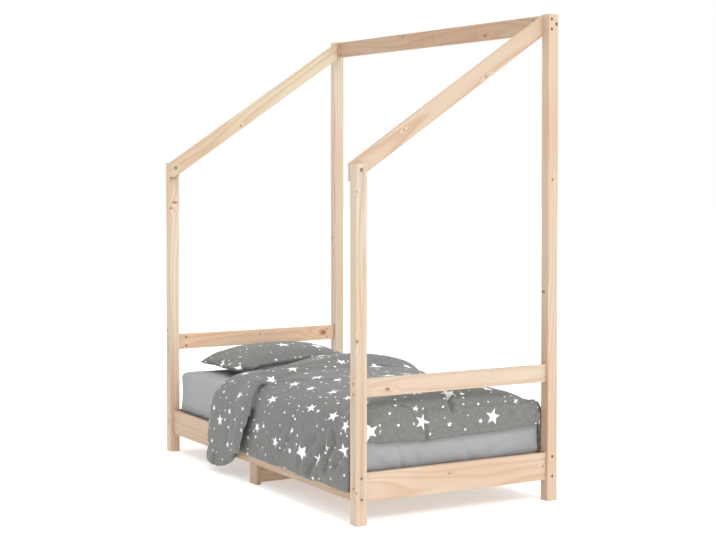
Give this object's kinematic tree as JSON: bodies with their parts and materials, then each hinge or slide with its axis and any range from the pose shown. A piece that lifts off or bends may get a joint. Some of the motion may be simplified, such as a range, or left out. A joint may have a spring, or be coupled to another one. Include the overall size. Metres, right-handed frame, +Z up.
{
  "type": "kids bed",
  "caption": "Child's single bed in pine with a lean-to roof frame over a slatted base, made up with mattress, pillow and a quilt that is folded back.",
  "frame": {"origin": "on the floor, at the centre of the rectangle of the four posts", "axes": "+X towards the foot end, +Y towards the wall side with the two tall posts and the ridge beam, -Y the open side, +Z up"},
  "size_m": [1.71, 0.9065, 1.858],
  "materials": {
    "pine": "sanded, clear matt lacquer",
    "beech": "turned and fluted, raw",
    "zinc_steel": "zinc plated",
    "mattress_cover": "plain knitted cover",
    "pillow_cover": "plain weave cotton with stars and dots",
    "quilt_cover": "plain weave cotton with stars and dots"
  },
  "bodies": {
    "root": {"post_head_front": "pine", "post_foot_front": "pine", "post_head_rear": "pine", "post_foot_rear": "pine", "side_rail_front": "pine", "side_rail_rear": "pine", "lower_rail_head": "pine", "lower_rail_foot": "pine", "upper_rail_head": "pine", "upper_rail_foot": "pine", "rafter_head": "pine", "rafter_foot": "pine", "ridge_beam": "pine", "ledger_front": "pine", "ledger_rear": "pine", "cross_board": "pine", "leg_front": "pine", "leg_rear": "pine", "slat_01": "pine", "slat_02": "pine", "slat_03": "pine", "slat_04": "pine", "slat_05": "pine", "slat_06": "pine", "slat_07": "pine", "slat_08": "pine", "slat_09": "pine", "slat_10": "pine", "slat_11": "pine", "slat_12": "pine", "slat_13": "pine", "slat_14": "pine", "slat_15": "pine", "side_rail_bolts": "zinc_steel", "side_rail_nuts": "zinc_steel", "lower_rail_bolts": "zinc_steel", "lower_rail_nuts": "zinc_steel", "upper_rail_bolts": "zinc_steel", "upper_rail_nuts": "zinc_steel", "ridge_bolts": "zinc_steel", "ridge_nuts": "zinc_steel", "eaves_bolts": "zinc_steel", "eaves_sleeves": "zinc_steel", "crest_bolts": "zinc_steel", "crest_sleeves": "zinc_steel", "dowels": "beech", "ledger_screws": "zinc_steel", "slat_screws": "zinc_steel", "leg_screws": "zinc_steel", "mattress": "mattress_cover", "pillow": "pillow_cover", "quilt": "quilt_cover"}
  },
  "joints": []
}
